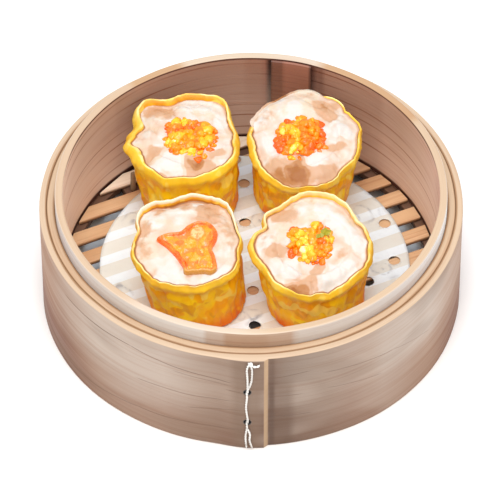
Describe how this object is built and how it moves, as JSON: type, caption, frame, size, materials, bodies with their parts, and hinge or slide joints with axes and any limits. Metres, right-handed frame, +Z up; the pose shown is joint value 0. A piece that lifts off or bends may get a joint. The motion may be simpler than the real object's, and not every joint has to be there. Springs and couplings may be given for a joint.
{
  "type": "shumai in a bamboo steamer",
  "caption": "Open-topped steamed pork and prawn dumplings on perforated paper, in a round slatted bamboo steamer basket.",
  "frame": {"origin": "on the surface it stands on, under the middle of its outline", "axes": "+Z up; -Y is the front, where the outer band laps over itself and is laced"},
  "size_m": [0.152, 0.1553, 0.0525],
  "materials": {
    "bamboo_rim": "pale planed bamboo, satin",
    "bamboo_band": "grey-brown weathered bamboo, matt, fine lengthwise grain",
    "bamboo_slat": "tan split bamboo, matt",
    "paper": "damp translucent white paper",
    "wrapper": "soft steamed yellow egg dough, moist sheen",
    "filling": "soft pale pink and cream mince, moist",
    "roe": "wet orange and yellow roe, glossy",
    "prawn": "cooked prawn, orange outside and yellow inside, glossy",
    "cord": "off-white twisted cotton cord"
  },
  "bodies": {
    "root": {"inner_hoop": "bamboo_rim", "inner_splice": "bamboo_rim", "inner_band": "bamboo_band", "outer_band": "bamboo_band", "base_ring": "bamboo_slat", "slat_01": "bamboo_slat", "slat_02": "bamboo_slat", "slat_03": "bamboo_slat", "slat_04": "bamboo_slat", "slat_05": "bamboo_slat", "slat_06": "bamboo_slat", "slat_07": "bamboo_slat", "slat_08": "bamboo_slat", "slat_09": "bamboo_slat", "slat_10": "bamboo_slat", "slat_11": "bamboo_slat", "slat_12": "bamboo_slat", "slat_13": "bamboo_slat", "cross_bar_left": "bamboo_slat", "cross_bar_right": "bamboo_slat", "slat_peg": "bamboo_slat", "paper_liner": "paper", "lacing_cord": "cord", "shumai_back_left_wrapper": "wrapper", "shumai_back_left_filling": "filling", "shumai_back_left_roe": "roe", "shumai_back_right_wrapper": "wrapper", "shumai_back_right_filling": "filling", "shumai_back_right_roe": "roe", "shumai_front_left_wrapper": "wrapper", "shumai_front_left_filling": "filling", "shumai_front_left_prawn": "prawn", "shumai_front_right_wrapper": "wrapper", "shumai_front_right_filling": "filling", "shumai_front_right_roe": "roe"}
  },
  "joints": []
}
